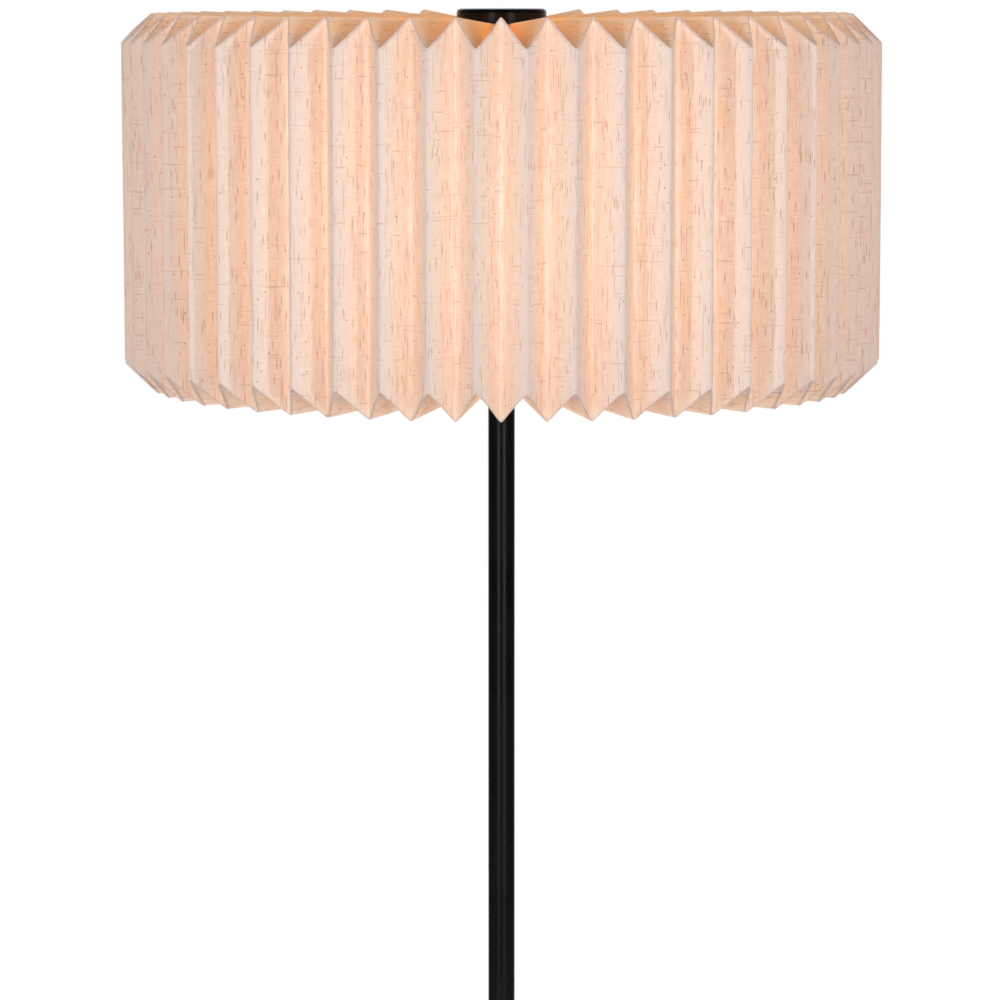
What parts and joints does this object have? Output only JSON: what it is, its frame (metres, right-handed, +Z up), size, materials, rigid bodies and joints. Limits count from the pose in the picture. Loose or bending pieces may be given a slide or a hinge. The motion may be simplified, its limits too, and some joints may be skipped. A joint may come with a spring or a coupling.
{
  "type": "floor lamp",
  "caption": "Floor lamp with a pleated paper drum shade on a harp, screw cap and bulb, on a round tube pole with a weighted disc base.",
  "frame": {"origin": "middle of the underside of the base, where the lamp stands on the floor", "axes": "+Z up along the pole, -Y to the front (switch side), +Y to the rear (cord gland), +X to the right"},
  "size_m": [0.4492, 0.4492, 1.5],
  "materials": {
    "felt": "felt",
    "cast_iron": "as cast",
    "black_paint": "satin",
    "zinc_steel": "zinc plated",
    "brass": "turned",
    "grommet_rubber": "matt",
    "lead_jacket": "matt",
    "core_jacket": "matt",
    "phenolic": "moulded",
    "fibre_liner": "pressed",
    "knob_plastic": "satin",
    "shade_paper": "fibrous, translucent",
    "hub_plastic": "moulded",
    "white_wire": "powder coat",
    "nylon": "moulded",
    "bulb_glass": "clear",
    "bulb_metal": "rolled",
    "black_glass": "glossy",
    "solder": "tinned",
    "filament": "coated"
  },
  "bodies": {
    "stand": {"base_pad": "felt", "base_weight": "cast_iron", "base_cover": "black_paint", "base_washer": "zinc_steel", "base_lock_nut": "zinc_steel", "base_nipple": "zinc_steel", "cord_gland": "grommet_rubber", "pole_lower": "black_paint", "pole_middle": "black_paint", "pole_upper": "black_paint", "pole_collar": "black_paint", "pole_foot_bush": "brass", "pole_top_bush": "brass", "pole_joint_studs": "brass", "pole_joint_bushes": "brass", "inner_lead": "lead_jacket", "lead_cores": "core_jacket", "holder_nipple": "zinc_steel", "holder_cap": "black_paint", "holder_shell": "black_paint", "holder_liner": "fibre_liner", "holder_body": "phenolic", "holder_screw_shell": "brass", "holder_contact": "brass", "terminal_screws": "brass", "harp_saddle": "black_paint", "harp_loop": "black_paint"},
    "knob": {"switch_knob": "knob_plastic"},
    "ferrule_left": {"harp_ferrule_left": "black_paint"},
    "ferrule_right": {"harp_ferrule_right": "black_paint"},
    "swivel": {"harp_stud": "brass"},
    "shade": {"shade_paper": "shade_paper", "shade_hub": "hub_plastic", "hub_lid": "hub_plastic", "mouth_ring": "white_wire"},
    "washer": {"cap_washer": "nylon"},
    "top_cap": {"cap": "black_paint", "cap_insert": "brass"},
    "bulb": {"bulb_glass": "bulb_glass", "bulb_cap": "bulb_metal", "bulb_insulator": "black_glass", "bulb_contact": "solder", "bulb_stem": "bulb_glass", "bulb_filaments": "filament"}
  },
  "joints": [
    {"name": "switch_turn", "type": "hinge", "parent": "stand", "child": "knob", "pos_m": [0, -0.0295, 1.3005], "axis": [0, -1, 0], "continuous": true},
    {"name": "ferrule_left_slide", "type": "slide", "parent": "stand", "child": "ferrule_left", "axis": [0, 0, 1], "range_m": [0, 0.009]},
    {"name": "ferrule_right_slide", "type": "slide", "parent": "stand", "child": "ferrule_right", "axis": [0, 0, 1], "range_m": [0, 0.009]},
    {"name": "shade_turn", "type": "hinge", "parent": "stand", "child": "swivel", "pos_m": [0, 0, 1.454], "axis": [0, 0, 1], "continuous": true},
    {"name": "shade_lift", "type": "slide", "parent": "swivel", "child": "shade", "axis": [0, 0, 1], "range_m": [0, 0.24]},
    {"name": "cap_rise", "type": "slide", "parent": "shade", "child": "washer", "axis": [0, 0, 1], "range_m": [0, 0.0061]},
    {"name": "cap_turn", "type": "hinge", "parent": "washer", "child": "top_cap", "pos_m": [0, 0, 1.4945], "axis": [0, 0, 1], "range_deg": [0, 2160]},
    {"name": "bulb_out", "type": "slide", "parent": "stand", "child": "bulb", "axis": [0, 0, 1], "range_m": [0, 0.031]}
  ],
  "couplings": [
    {"joint": "cap_rise", "follows": "cap_turn", "m_per_rad": 0.00015915}
  ]
}
